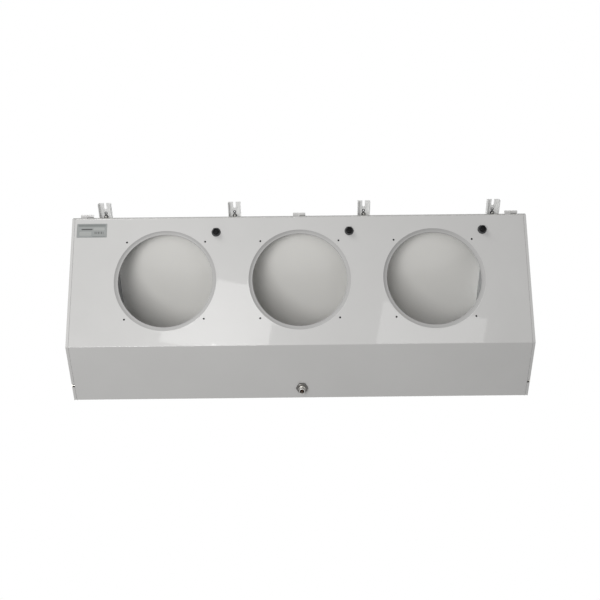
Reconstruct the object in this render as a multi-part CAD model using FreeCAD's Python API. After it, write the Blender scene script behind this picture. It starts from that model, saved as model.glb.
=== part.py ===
import FreeCAD, Part
import math
import os

from FreeCAD import Vector

# A slim ceiling-hung unit cooler, supplied without its fans.
# +Z is up as it hangs, -Y is the sloping fan side, +Y is the air outlet, and X runs along the casing.
# The origin lies on the ceiling plane (the tops of the hanger rails), at the middle of the casing.
# All lengths are in millimetres, angles in degrees.

# Casing
casing_length = 1240.0
plenum_height = 214.0
pan_flat = 164.0
panel_angle = 35.5
cover_sheet = 1.2
cover_rear_lip = 8.3
cover_front_lip = 20.0
cover_end_gap = 0.2
cover_fold_radius = 1.0
side_sheet = 1.2
side_strip = 7.0
side_top_flange = 15.0
side_front_setback = 1.2
side_front_gap = 1.0
compartment = 108.0

# Drip tray, which is also the fan panel
tray_sheet = 1.2
tray_end_gap = 0.5
tray_seam = 2.2
tray_rear_flange = 8.0
tray_front_lip = 30.0
tray_side_lip = 25.0
tray_lip_clear = 3.0
tray_fold_radius = 1.5

# Fan openings
opening_count = 3
opening_from_end = 258.0
opening_rise = 178.5
throat_radius = 129.0
flare_radius = 25.0
flare_lead = 20.0
flare_turn = 52.0
flare_steps = 3
fan_hole_past_flare = 9.85
fan_hole_radius = 2.75
fan_hole_count = 4

# Cable glands
gland_side = 135.5
gland_above = 132.5
gland_thread_radius = 10.0
gland_hole_clearance = 0.25
gland_hex = 24.0
gland_hex_height = 4.0
gland_dome_radius = 12.0
gland_dome_tip_radius = 8.5
gland_dome_height = 9.0
gland_dome_taper = 4.0
gland_nut_hex = 24.0
gland_nut_height = 5.0

# Rating plate
plate_width = 82.0
plate_height = 39.0
plate_thickness = 0.5
plate_from_end = 6.5
plate_from_top = 14.0

# Drain
drain_offset = 3.0
drain_from_front = 33.0
drain_radius = 9.0
drain_bore_radius = 6.5
drain_thread_length = 8.0
drain_tail_radius = 8.0
drain_tail_length = 13.0
drain_hole_clearance = 0.2
drain_head_hex = 28.0
drain_head_height = 3.0
drain_nut_hex = 28.0
drain_nut_height = 7.0
drain_nut_clearance = 0.05

# Hinges of the tray
hinge_from_end = 41.0
hinge_width = 34.0
hinge_out = 6.0
hinge_pin_radius = 2.0
hinge_running_fit = 0.05
hinge_knuckle_radius = 4.0
hinge_leaf = 1.5
hinge_leaf_length = 24.0
hinge_knuckle_gap = 1.0
hinge_notch_gap = 2.0

# Screws that hold the tray shut
tray_screw_inset = 12.0
tray_screw_from_front = 40.0
tray_screw_radius = 3.0
tray_screw_inside = 8.0
tray_screw_hex = 10.0
tray_screw_head = 3.5
tray_screw_seat = 0.3
tray_slot_clearance = 0.6
tray_slot_length = 40.0

# Hanger rails
rail_count = 4
rail_from_end = 87.5
rail_width = 34.0
rail_height = 14.0
rail_sheet = 2.0
rail_overhang = 37.5
rail_slot_width = 7.0
rail_slot_length = 17.0
rail_hole_radius = 3.5
rail_hole_from_end = 28.0
rail_nut_hex = 10.0
rail_nut_height = 5.0

# Coil
tubes_high = 4
tubes_deep = 2
tube_pitch = 50.0
row_pitch = 43.3
tube_radius = 8.0
tube_past_plate = 12.0
bend_past_plate = 8.0
bend_steps = 3
coil_top_gap = 0.8
coil_front_gap = 20.0
coil_plate_sheet = 1.5
coil_plate_gap = 4.0
coil_plate_margin = 5.0
coil_plate_flange = 15.0
coil_plate_rear_gap = 12.0
fin_pitch = 12.0
fin_thickness = 0.3

# Refrigerant pipes in the left end compartment
pipe_stand_off = 64.5
pipe_end_gap = 8.0
header_radius = 14.0
suction_radius = 11.0
suction_stub = 18.0
suction_collar = 13.0
header_below = 18.0
header_above = 18.0
suction_rise = 120.0
distributor_hex = 16.0
distributor_height = 20.0
lead_radius = 3.0
lead_bend = 20.0
liquid_radius = 5.0
liquid_stub = 20.0
liquid_collar = 6.5
suction_entry_radius = 17.0
liquid_entry_radius = 11.0

# Junction box in the right end compartment
box_width = 80.0
box_height = 60.0
box_depth = 45.0
box_wall = 2.0
box_lid = 3.0
box_lid_gap = 0.3
box_below_cover = 45.0
box_from_fold = 42.0
box_entry_radius = 10.0
terminal_length = 60.0
terminal_height = 16.0
terminal_depth = 18.0
terminal_ways = 6
terminal_slot = 1.2
terminal_slot_depth = 5.0

# Levels and edges worked out from the sizes above
slope = math.radians(panel_angle)
end_x = casing_length / 2
cover_top = -rail_height
cover_under = cover_top - cover_sheet
pan_low = cover_under - plenum_height
panel_top = cover_top - cover_rear_lip - tray_seam
panel_rise = panel_top - pan_low
panel_length = panel_rise / math.sin(slope)
casing_depth = pan_flat + panel_rise / math.tan(slope)
front_y = casing_depth / 2
rear_y = -casing_depth / 2
fold_y = front_y - pan_flat
tray_half = end_x - side_strip - tray_end_gap
plate_x = end_x - compartment
coil_height = tubes_high * tube_pitch
coil_depth = tubes_deep * row_pitch
coil_high = cover_under - coil_top_gap
coil_low = coil_high - coil_height
coil_front = front_y - coil_front_gap
coil_rear = coil_front - coil_depth
plate_outer = plate_x + coil_plate_sheet
tube_end = plate_outer + tube_past_plate
pipe_x = plate_outer + pipe_stand_off
pipe_end = end_x - pipe_end_gap
rail_pitch = 2 * (end_x - rail_from_end) / (rail_count - 1)
rail_reach = [(n - (rail_count - 1) / 2) * rail_pitch for n in range(rail_count)]
coil_support_reach = rail_pitch / 2
opening_pitch = 2 * (end_x - opening_from_end) / (opening_count - 1)
opening_xs = [(n - (opening_count - 1) / 2) * opening_pitch for n in range(opening_count)]
hinge_xs = [hinge_from_end - end_x, 0.0, end_x - hinge_from_end]

along_x = Vector(1, 0, 0)
up = Vector(0, 0, 1)
out_of_panel = Vector(0, -math.sin(slope), -math.cos(slope))
up_panel = Vector(0, -math.cos(slope), math.sin(slope))

# The side view of the casing, as points (y, z) on the sheet's outer face
top_corner = (rear_y, panel_top)
fold_corner = (fold_y, pan_low)
front_corner = (front_y, pan_low)


def block(x, y, z):
    """A box between the low and high values of x, y and z."""
    return Part.makeBox(x[1] - x[0], y[1] - y[0], z[1] - z[0], Vector(x[0], y[0], z[0]))


def rod(radius, start, end):
    """A round bar from one point to another."""
    return Part.makeCylinder(radius, (end - start).Length, start, end - start)


def hexagon(across, start, end):
    """A six-sided bar between two points, with its flats the given distance apart."""
    corner = across / math.sqrt(3)
    points = []
    for n in range(7):
        turn = math.radians(60 * n)
        points.append(Vector(corner * math.cos(turn), corner * math.sin(turn), 0))
    flat = Part.Face(Part.makePolygon(points))
    bar = flat.extrude(up * (end - start).Length)
    bar.Placement = FreeCAD.Placement(start, FreeCAD.Rotation(up, end - start))
    return bar


def joined(solids):
    """One solid from pieces that touch or overlap, with no seams left on flat faces."""
    return solids[0].multiFuse(solids[1:]).removeSplitter()


def group(solids):
    """Separate solids kept in one node."""
    return Part.makeCompound(solids)


def mirrored(shape):
    """The same shape at the other end of the casing."""
    return shape.mirror(Vector(0, 0, 0), along_x)


def left_of(start, end):
    """The unit vector, in the side view, to the left of the way from one point to the next."""
    way = Vector(0, end[0] - start[0], end[1] - start[1]).normalize()
    return Vector(0, -way.z, way.y)


def beside(points, distance):
    """A line of (y, z) points moved to its left by a distance, with its corners kept sharp."""
    moved = []
    for n, (y, z) in enumerate(points):
        sides = []
        if n > 0:
            sides.append(left_of(points[n - 1], points[n]))
        if n < len(points) - 1:
            sides.append(left_of(points[n], points[n + 1]))
        shift = sides[0] if len(sides) == 1 else (sides[0] + sides[1]) / (1 + sides[0].dot(sides[1]))
        moved.append((y + shift.y * distance, z + shift.z * distance))
    return moved


def turns_left(before, corner, after):
    """Whether a line of (y, z) points bends to its left at a corner."""
    return left_of(before, corner).dot(Vector(0, after[0] - corner[0], after[1] - corner[1])) > 0


def line_edges(points, radii):
    """The edges of a line of (y, z) points, with an arc of its own radius at each inner corner."""
    edges = []
    start = Vector(0, *points[0])
    for n in range(1, len(points) - 1):
        corner = Vector(0, *points[n])
        back = (Vector(0, *points[n - 1]) - corner).normalize()
        ahead = (Vector(0, *points[n + 1]) - corner).normalize()
        half = back.getAngle(ahead) / 2
        radius = radii[n - 1]
        arc_start = corner + back * (radius / math.tan(half))
        arc_end = corner + ahead * (radius / math.tan(half))
        middle = corner + (back + ahead).normalize() * (radius / math.sin(half) - radius)
        edges.append(Part.LineSegment(start, arc_start).toShape())
        edges.append(Part.Arc(arc_start, middle, arc_end).toShape())
        start = arc_end
    edges.append(Part.LineSegment(start, Vector(0, *points[-1])).toShape())
    return edges


def bent_sheet(points, thickness, fold_radius, x):
    """A folded sheet: its outer face follows the (y, z) points and its metal lies to their left."""
    inner = beside(points, thickness)
    outer_radii = []
    inner_radii = []
    for n in range(1, len(points) - 1):
        left = turns_left(points[n - 1], points[n], points[n + 1])
        outer_radii.append(fold_radius + thickness if left else fold_radius)
        inner_radii.append(fold_radius if left else fold_radius + thickness)
    edges = line_edges(points, outer_radii) + line_edges(inner, inner_radii)
    edges.append(Part.LineSegment(Vector(0, *points[0]), Vector(0, *inner[0])).toShape())
    edges.append(Part.LineSegment(Vector(0, *points[-1]), Vector(0, *inner[-1])).toShape())
    face = Part.Face(Part.Wire(Part.__sortEdges__(edges)))
    face.translate(along_x * x[0])
    return face.extrude(along_x * (x[1] - x[0]))


def side_plate(points, x):
    """A flat plate across the casing, with its outline given as (y, z) points."""
    outline = [Vector(x[0], *point) for point in points]
    return Part.Face(Part.makePolygon(outline + outline[:1])).extrude(along_x * (x[1] - x[0]))


def panel_point(x, rise, out=0.0):
    """A point on the fan panel: x along the casing, rise up the slope from the fold, out of its face."""
    return Vector(x, fold_y, pan_low) + up_panel * rise + out_of_panel * out


def on_panel(shape, x, rise):
    """A shape drawn about its own origin, with its Z out of the panel and its Y up the slope."""
    placed = shape.copy()
    placed.Placement = FreeCAD.Placement(panel_point(x, rise), FreeCAD.Rotation(along_x, 180 - panel_angle))
    return placed


def arc_point(centre, radius, turn):
    """A point on a circle in the XZ plane, where a turn of 0 is straight above the centre."""
    angle = math.radians(turn)
    return Vector(centre.x - radius * math.sin(angle), 0, centre.z + radius * math.cos(angle))


def flare():
    """The rounded mouth that the sheet is drawn into round a fan opening, in short straight steps."""
    lead = math.radians(flare_lead)
    centre = Vector(flare_edge + flare_radius * math.sin(lead), 0, -flare_radius * math.cos(lead))
    outer = []
    inner = []
    for n in range(flare_steps + 1):
        turn = flare_lead + (flare_turn - flare_lead) * n / flare_steps
        outer.append(arc_point(centre, flare_radius, turn))
        inner.append(arc_point(centre, flare_radius - tray_sheet, turn))
    profile = Part.makePolygon(outer + inner[::-1] + outer[:1])
    return Part.Face(profile).revolve(Vector(0, 0, 0), up, 360)


flare_spread = math.sin(math.radians(flare_turn)) - math.sin(math.radians(flare_lead))
flare_edge = throat_radius + flare_radius * flare_spread
fan_reach = flare_edge + fan_hole_past_flare


def panel_hole(radius, x, rise):
    """A cutter for a round hole through the fan panel."""
    depth = 4 * tray_sheet
    return rod(radius, panel_point(x, rise, depth), panel_point(x, rise, -depth))


def fan_hole_places():
    """The x and rise of every fan screw hole."""
    places = []
    for x in opening_xs:
        for n in range(fan_hole_count):
            turn = math.radians(360 * (n + 0.5) / fan_hole_count)
            places.append((x + fan_reach * math.cos(turn), opening_rise + fan_reach * math.sin(turn)))
    return places


def gland_places():
    """The x and rise of every cable gland, above and to the right of its opening."""
    return [(x + gland_side, opening_rise + gland_above) for x in opening_xs]


def drain_point(z):
    """A point on the drain's axis."""
    return Vector(drain_offset, front_y - drain_from_front, z)


def tray_screw_place():
    """The y and z of the tray's side screw, on either end of the casing."""
    return front_y - tray_screw_from_front, pan_low + tray_screw_inset


def hinge_axis(x):
    """A point on the axis that the tray turns about."""
    edge = beside([top_corner, fold_corner], tray_sheet)[0]
    return Vector(x, rear_y - hinge_out, edge[1] + hinge_knuckle_radius)


def tray_outline():
    """The tray's outer face from the end of its rear flange to the top of its front lip."""
    flange_end = panel_point(0, panel_length, -tray_rear_flange)
    lip_top = (front_y, pan_low + tray_front_lip)
    return [(flange_end.y, flange_end.z), top_corner, fold_corner, front_corner, lip_top]


def side_lip():
    """The upstand that closes the right end of the tray."""
    outer = [top_corner, fold_corner, front_corner, (front_y, pan_low + tray_side_lip)]
    inner = beside(outer, tray_side_lip)[:-1]
    lip = side_plate(outer + inner[::-1][1:], (tray_half - tray_sheet, tray_half))
    room = block((0, end_x), (rear_y, front_y), (pan_low, cover_under - tray_lip_clear))
    place = tray_screw_place()
    return lip.common(room).cut(rod(tray_screw_radius, Vector(0, *place), Vector(end_x, *place)))


def drip_tray():
    """The fan panel and drain pan, folded from one sheet, with three flared mouths and closed ends."""
    sheet = bent_sheet(tray_outline(), tray_sheet, tray_fold_radius, (-tray_half, tray_half))
    cutters = [panel_hole(flare_edge, x, opening_rise) for x in opening_xs]
    cutters += [panel_hole(fan_hole_radius, x, rise) for x, rise in fan_hole_places()]
    gland_hole = gland_thread_radius + gland_hole_clearance
    cutters += [panel_hole(gland_hole, x, rise) for x, rise in gland_places()]
    drain_hole = drain_radius + drain_hole_clearance
    cutters.append(rod(drain_hole, drain_point(pan_low - tray_sheet), drain_point(pan_low + 2 * tray_sheet)))
    cutters += [flange_notch(x) for x in hinge_xs]
    flares = [on_panel(flare(), x, opening_rise) for x in opening_xs]
    lip = side_lip()
    return joined([sheet.cut(cutters), lip, mirrored(lip)] + flares)


def flange_notch(x):
    """The gap in the rear flange of the tray for the leaf on its panel."""
    wide = hinge_width / 2 + hinge_notch_gap
    deep = tray_sheet + tray_fold_radius
    return on_panel(block((-wide, 0), (-deep, 0), (-tray_rear_flange, -tray_sheet)), x, panel_length)


def rating_plate():
    """The bare metal plate at the upper left of the fan panel."""
    x = -tray_half + plate_from_end
    top = panel_length - plate_from_top
    plate = block((0, plate_width), (-plate_height, 0), (0, plate_thickness))
    return on_panel(plate, x, top)


def cable_glands():
    """The closed cable glands: a hexagon and a domed cap outside the panel, and a thread through it."""
    straight = gland_dome_height - gland_dome_taper
    top = Vector(0, 0, gland_hex_height)
    shoulder = top + up * straight
    hexagon_base = hexagon(gland_hex, Vector(0, 0, 0), top)
    dome = rod(gland_dome_radius, top, shoulder)
    taper = Part.makeCone(gland_dome_radius, gland_dome_tip_radius, gland_dome_taper, shoulder)
    thread = rod(gland_thread_radius, Vector(0, 0, -tray_sheet), Vector(0, 0, 0))
    gland = joined([hexagon_base, dome, taper, thread])
    return group([on_panel(gland, x, rise) for x, rise in gland_places()])


def gland_locknuts():
    """The glands' closed nuts on the inside of the panel."""
    nuts = []
    for x, rise in gland_places():
        low = panel_point(x, rise, -tray_sheet)
        high = panel_point(x, rise, -tray_sheet - gland_nut_height)
        nuts.append(hexagon(gland_nut_hex, low, high))
    return group(nuts)


def drain_spigot():
    """The threaded tube that empties the pan, with a hexagon above the floor and a plain tail below."""
    floor = drain_point(pan_low + tray_sheet)
    thread_end = drain_point(pan_low - drain_thread_length)
    tail_end = thread_end - up * drain_tail_length
    top = floor + up * drain_head_height
    pieces = [rod(drain_radius, thread_end, floor), rod(drain_tail_radius, tail_end, thread_end)]
    pieces.append(hexagon(drain_head_hex, floor, top))
    return joined(pieces).cut(rod(drain_bore_radius, tail_end, top))


def drain_nut():
    """The plated nut under the pan."""
    low = drain_point(pan_low - drain_nut_height)
    high = drain_point(pan_low)
    hole = rod(drain_radius + drain_nut_clearance, low, high)
    return hexagon(drain_nut_hex, low, high).cut(hole)


def tray_hinge_leaf(x):
    """The leaf on the inside of the fan panel, with the rolled eye that turns on the pin."""
    axis = hinge_axis(x)
    edge = beside([top_corner, fold_corner], tray_sheet)
    foot = panel_point(0, panel_length - hinge_leaf_length, -tray_sheet)
    line = [(axis.y, edge[0][1]), edge[0], (foot.y, foot.z)]
    low = hinge_width / 2
    high = hinge_knuckle_gap / 2
    strip = bent_sheet(line, hinge_leaf, hinge_leaf, (x - low, x - high))
    eye = rod(hinge_knuckle_radius, hinge_axis(x - low), hinge_axis(x - high))
    bore = rod(hinge_pin_radius + hinge_running_fit, hinge_axis(x - low), hinge_axis(x - high))
    return joined([strip, eye]).cut(bore)


def casing_hinge_leaf(x):
    """The leaf on the rear lip of the cover, with the closed barrel that holds the pin."""
    axis = hinge_axis(x)
    top = axis.z + hinge_knuckle_radius
    line = [(axis.y, top), (rear_y, top), (rear_y, cover_top - cover_rear_lip)]
    low = hinge_knuckle_gap / 2
    high = hinge_width / 2
    strip = bent_sheet([(y, z) for y, z in line[::-1]], hinge_leaf, hinge_leaf / 2, (x + low, x + high))
    return joined([strip, rod(hinge_knuckle_radius, hinge_axis(x + low), hinge_axis(x + high))])


def hinge_pin(x):
    """The pin that stands out of the casing's barrel and that the tray's eye turns on."""
    return rod(hinge_pin_radius, hinge_axis(x - hinge_width / 2), hinge_axis(x + hinge_knuckle_gap / 2))


def tray_screw():
    """The right screw that holds the tray shut, with its head outside the side cover."""
    place = tray_screw_place()
    seat = Vector(end_x + tray_screw_seat, *place)
    shank = rod(tray_screw_radius, Vector(tray_half - tray_screw_inside, *place), seat)
    return joined([shank, hexagon(tray_screw_hex, seat, seat + along_x * tray_screw_head)])


def tray_side_screws():
    """The screws that keep the tray shut, one at each end."""
    return group([tray_screw(), mirrored(tray_screw())])


def tray_screw_slot():
    """A slot in the side cover that follows the screw's way as the tray swings down."""
    y, z = tray_screw_place()
    axis = hinge_axis(0)
    arm = Vector(0, y - axis.y, z - axis.z)
    way = Vector(0, arm.z, -arm.y).normalize()
    half = tray_screw_radius + tray_slot_clearance
    across = Vector(0, way.z, -way.y) * half
    centre = Vector(tray_half, y, z)
    corners = [centre + across, centre + across + way * tray_slot_length]
    corners += [centre - across + way * tray_slot_length, centre - across]
    width = along_x * (end_x - tray_half)
    straight = Part.Face(Part.makePolygon(corners + corners[:1])).extrude(width)
    return joined([straight, rod(half, centre, centre + width)])


def lip_notch(x):
    """The gap in the edge of the cover's rear lip that the tray's hinge leaf passes through."""
    wide = hinge_width / 2 + hinge_notch_gap
    low = cover_top - cover_rear_lip
    return block((x - wide, x), (rear_y, rear_y + cover_sheet), (low, low + hinge_leaf))


def top_cover():
    """The flat lid of the casing, folded down at the front and the rear."""
    line = [(front_y, cover_top - cover_front_lip), (front_y, cover_top)]
    line += [(rear_y, cover_top), (rear_y, cover_top - cover_rear_lip)]
    lip_end = end_x - side_sheet - cover_end_gap
    sheet = bent_sheet(line, cover_sheet, cover_fold_radius, (-lip_end, lip_end))
    inset = cover_sheet + cover_fold_radius
    wing = block((lip_end, end_x), (rear_y + inset, front_y - inset), (cover_under, cover_top))
    cover = joined([sheet, wing, mirrored(wing)])
    return cover.cut([lip_notch(x) for x in hinge_xs])


def side_cover():
    """The right end of the casing, with a narrow rim flush with the tray and a front over the compartment."""
    outline = [top_corner, fold_corner, front_corner, (front_y, cover_under), (rear_y, cover_under)]
    plate = side_plate(outline, (end_x - side_sheet, end_x))
    rim_line = [top_corner, fold_corner, front_corner, (front_y, pan_low + tray_front_lip)]
    rim = bent_sheet(rim_line, side_sheet, tray_fold_radius, (end_x - side_strip, end_x))
    front_face = front_y - side_front_setback
    front_low = pan_low + tray_front_lip + side_front_gap
    front_high = cover_under - cover_fold_radius
    front_line = [(front_face, front_low), (front_face, front_high)]
    front = bent_sheet(front_line, side_sheet, side_sheet, (plate_outer, end_x))
    return_end = plate_outer + side_sheet
    turned_y = (coil_front - coil_plate_margin, front_face)
    turned = block((plate_outer, return_end), turned_y, (front_low, front_high))
    flange_low = cover_under - side_sheet
    margin = tray_side_lip
    flange_y = (rear_y + margin, front_face - cover_fold_radius)
    flange = block((end_x - side_top_flange, end_x), flange_y, (flange_low, cover_under))
    cover = joined([plate, rim, front, turned, flange])
    return cover.cut(tray_screw_slot())


def pipe_places():
    """The y and z of the suction pipe and the liquid pipe."""
    suction = (tube_y(tubes_deep - 1), coil_low + suction_rise)
    liquid = (tube_y(0), (tube_z(0, 0) + tube_z(0, tubes_high // 2)) / 2)
    return suction, liquid


def left_side_cover():
    """The left end of the casing, with two holes for the refrigerant pipes."""
    suction, liquid = pipe_places()
    holes = []
    for place, radius in ((suction, suction_entry_radius), (liquid, liquid_entry_radius)):
        holes.append(rod(radius, Vector(-end_x, *place), Vector(-end_x + side_sheet, *place)))
    return mirrored(side_cover()).cut(holes)


def coil_end_plate():
    """The right tube plate, which also closes the fan space from the end compartment."""
    slope_line = beside([top_corner, fold_corner, front_corner], tray_sheet + coil_plate_gap)
    rear_edge = rear_y + coil_plate_rear_gap
    run = (rear_edge - slope_line[0][0]) / (slope_line[1][0] - slope_line[0][0])
    rear_low = slope_line[0][1] + run * (slope_line[1][1] - slope_line[0][1])
    front_edge = coil_front + coil_plate_margin
    outline = [(rear_edge, cover_under), (rear_edge, rear_low), slope_line[1]]
    outline += [(front_edge, slope_line[1][1]), (front_edge, cover_under)]
    plate = side_plate(outline, (plate_x, plate_outer))
    flange_low = cover_under - coil_plate_sheet
    flange = block((plate_x, plate_x + coil_plate_flange), (rear_edge, coil_front), (flange_low, cover_under))
    return joined([plate, flange])


def coil_support_plates():
    """The two plates that carry the coil under the inner hanger rails."""
    high = (coil_low - coil_plate_margin, cover_under)
    plates = []
    for side in (-1, 1):
        x = side * coil_support_reach
        plates.append(block((x, x + coil_plate_sheet), (coil_rear, coil_front), high))
    return group(plates)


def tube_y(row):
    """The y of a row of tubes, counted from the air outlet."""
    return coil_front - row_pitch * (row + 0.5)


def tube_z(row, level):
    """The z of a tube in a row: every second row stands half a pitch higher."""
    return coil_low + tube_pitch * (level + 0.25 + 0.5 * (row % 2))


def coil_fins():
    """The plain aluminium fins, pressed onto the tubes."""
    solids = []
    count = int((plate_x - fin_pitch / 2) // fin_pitch)
    for n in range(-count, count + 1):
        x = n * fin_pitch
        near_plate = abs(abs(x) - coil_support_reach) < fin_pitch / 4
        if not near_plate:
            solids.append(block((x, x + fin_thickness), (coil_rear, coil_front), (coil_low, coil_high)))
    return group(solids)


def pipe(points, radius):
    """A round pipe along a line of points, mitred where it turns."""
    mouth = Part.Wire(Part.makeCircle(radius, points[0], points[1] - points[0]))
    return Part.makePolygon(points).makePipeShell([mouth], True, False, 1)


def half_turn(first, second, outward):
    """The corner points of a turn from one tube end to another, bulging outward, in equal steps."""
    middle = (first + second) / 2
    reach = (second - first).Length / 2 / math.cos(math.pi / bend_steps / 2)
    sideways = (first - middle).normalize()
    points = []
    for n in range(bend_steps):
        turn = math.pi * (n + 0.5) / bend_steps
        points.append(middle + (sideways * math.cos(turn) + outward * math.sin(turn)) * reach)
    return points


def coil_hairpins():
    """The tubes of the coil, each pair bent from one length, with the bends at the right."""
    pairs = []
    for row in range(tubes_deep):
        for level in range(0, tubes_high, 2):
            low = Vector(-tube_end, tube_y(row), tube_z(row, level))
            high = Vector(-tube_end, tube_y(row), tube_z(row, level + 1))
            run = along_x * (plate_outer + bend_past_plate + tube_end)
            turn = half_turn(low + run, high + run, along_x)
            pairs.append(pipe([low] + turn + [high], tube_radius))
    return group(pairs)


def coil_return_bends():
    """The bends at the left end that join one hairpin to the next row's."""
    bends = []
    for row in range(tubes_deep - 1):
        for level in range(0, tubes_high, 2):
            met = level + 1 - row % 2
            first = Vector(-tube_end, tube_y(row), tube_z(row, met))
            second = Vector(-tube_end, tube_y(row + 1), tube_z(row + 1, met))
            bends.append(pipe([first] + half_turn(first, second, along_x * -1) + [second], tube_radius))
    return group(bends)


def suction_header():
    """The pipe that gathers the gas from both circuits and leads it out at the left."""
    row = tubes_deep - 1
    y = tube_y(row)
    outlets = [tube_z(row, level + tubes_deep % 2) for level in range(0, tubes_high, 2)]
    low = Vector(-pipe_x, y, min(outlets) - header_below)
    high = Vector(-pipe_x, y, max(outlets) + header_above)
    pieces = [rod(header_radius, low, high)]
    for z in outlets:
        pieces.append(rod(tube_radius, Vector(-pipe_x, y, z), Vector(-tube_end, y, z)))
    suction, _ = pipe_places()
    collar_end = -pipe_end + suction_stub
    pieces.append(rod(suction_radius, Vector(-pipe_end, *suction), Vector(collar_end, *suction)))
    pieces.append(rod(suction_collar, Vector(collar_end, *suction), Vector(-pipe_x, *suction)))
    return joined(pieces)


def liquid_distributor():
    """The small brass body that shares the liquid between both circuits, with its inlet pipe."""
    _, (y, z) = pipe_places()
    half = up * (distributor_height / 2)
    centre = Vector(-pipe_x, y, z)
    body = hexagon(distributor_hex, centre - half, centre + half)
    collar_end = Vector(-pipe_end + liquid_stub, y, z)
    stub = rod(liquid_radius, Vector(-pipe_end, y, z), collar_end)
    return joined([body, stub, rod(liquid_collar, collar_end, centre)])


def distributor_lead(side, level):
    """A thin pipe from the distributor up or down to the first tube of a circuit."""
    _, (y, z) = pipe_places()
    start = Vector(-pipe_x, y, z + side * distributor_height / 2)
    end = Vector(-tube_end, y, tube_z(0, level))
    corner = Vector(-pipe_x, y, end.z)
    return pipe([start, corner - up * (side * lead_bend), corner + along_x * lead_bend, end], lead_radius)


def distributor_leads():
    """The two thin pipes from the distributor to the coil."""
    return group([distributor_lead(1, tubes_high // 2), distributor_lead(-1, 0)])


def box_low_corner():
    """The lowest corner of the junction box, on the outer face of the right tube plate."""
    y = fold_y - box_from_fold - box_width
    return Vector(plate_outer, y, cover_under - box_below_cover - box_height)


def junction_box():
    """The open box for the fans' cables, screwed to the tube plate."""
    corner = box_low_corner()
    outer = Part.makeBox(box_depth, box_width, box_height, corner)
    inset = Vector(box_wall, box_wall, box_wall)
    inner = Part.makeBox(box_depth, box_width - 2 * box_wall, box_height - 2 * box_wall, corner + inset)
    entry = corner + Vector(box_depth / 2, box_width / 2, 0)
    hole = rod(box_entry_radius, entry, entry + up * box_wall)
    return outer.cut([inner, hole])


def junction_box_lid():
    """The flat lid of the junction box."""
    corner = box_low_corner() + along_x * (box_depth + box_lid_gap)
    return Part.makeBox(box_lid, box_width, box_height, corner)


def terminal_block():
    """The row of terminals on the floor of the junction box."""
    corner = box_low_corner()
    y = corner.y + (box_width - terminal_length) / 2
    z = corner.z + (box_height - terminal_height) / 2
    x = corner.x + box_wall
    rail = block((x, x + terminal_depth), (y, y + terminal_length), (z, z + terminal_height))
    slots = []
    for n in range(1, terminal_ways):
        middle = y + terminal_length * n / terminal_ways
        x_range = (x + terminal_depth - terminal_slot_depth, x + terminal_depth)
        slots.append(block(x_range, (middle - terminal_slot / 2, middle + terminal_slot / 2), (z, z + terminal_height)))
    return rail.cut(slots)


def hanger_rail(x):
    """A channel across the casing, open below, with a slot and a hole in each end for a hanging rod."""
    half = rail_width / 2
    end = front_y + rail_overhang
    outline = Part.makePolygon([
        Vector(x - half, -end, -rail_height),
        Vector(x - half, -end, 0),
        Vector(x + half, -end, 0),
        Vector(x + half, -end, -rail_height),
        Vector(x + half - rail_sheet, -end, -rail_height),
        Vector(x + half - rail_sheet, -end, -rail_sheet),
        Vector(x - half + rail_sheet, -end, -rail_sheet),
        Vector(x - half + rail_sheet, -end, -rail_height),
        Vector(x - half, -end, -rail_height),
    ])
    channel = Part.Face(outline).extrude(Vector(0, 2 * end, 0))
    cutters = []
    for side in (-1, 1):
        slot_end = side * (end - rail_slot_length + rail_slot_width / 2)
        low = min(slot_end, side * end)
        high = max(slot_end, side * end)
        reach = rail_slot_width / 2
        cutters.append(block((x - reach, x + reach), (low, high), (-rail_sheet, 0)))
        cutters.append(rod(reach, Vector(x, slot_end, -rail_sheet), Vector(x, slot_end, 0)))
        hole_y = side * (end - rail_hole_from_end)
        cutters.append(rod(rail_hole_radius, Vector(x, hole_y, -rail_sheet), Vector(x, hole_y, 0)))
    return channel.cut(cutters)


def rail_nuts():
    """The nuts inside the rails, over the rear edge of the casing."""
    nuts = []
    for x in rail_reach:
        top = Vector(x, rear_y, -rail_sheet)
        nuts.append(hexagon(rail_nut_hex, top, top - up * rail_nut_height))
    return group(nuts)


end_plate = coil_end_plate()
parts = {
    "drip_tray": drip_tray(),
    "rating_plate": rating_plate(),
    "cable_glands": cable_glands(),
    "gland_locknuts": gland_locknuts(),
    "drain_spigot": drain_spigot(),
    "drain_nut": drain_nut(),
    "tray_hinge_leaves": group([tray_hinge_leaf(x) for x in hinge_xs]),
    "tray_side_screws": tray_side_screws(),
    "casing_hinge_leaves": group([casing_hinge_leaf(x) for x in hinge_xs]),
    "hinge_pins": group([hinge_pin(x) for x in hinge_xs]),
    "top_cover": top_cover(),
    "right_side_cover": side_cover(),
    "left_side_cover": left_side_cover(),
    "right_tube_plate": end_plate,
    "left_tube_plate": mirrored(end_plate),
    "coil_support_plates": coil_support_plates(),
    "coil_fins": coil_fins(),
    "coil_hairpins": coil_hairpins(),
    "coil_return_bends": coil_return_bends(),
    "suction_header": suction_header(),
    "liquid_distributor": liquid_distributor(),
    "distributor_leads": distributor_leads(),
    "junction_box": junction_box(),
    "junction_box_lid": junction_box_lid(),
    "terminal_block": terminal_block(),
    "rail_nuts": rail_nuts(),
}
for number, x in enumerate(rail_reach, start=1):
    parts[f"hanger_rail_{number}"] = hanger_rail(x)

os.makedirs("parts", exist_ok=True)
for name, shape in parts.items():
    shape.exportStep(f"parts/{name}.step")
    print(name, "valid" if shape.isValid() else "NOT VALID", len(shape.Solids), round(shape.Volume))
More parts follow.
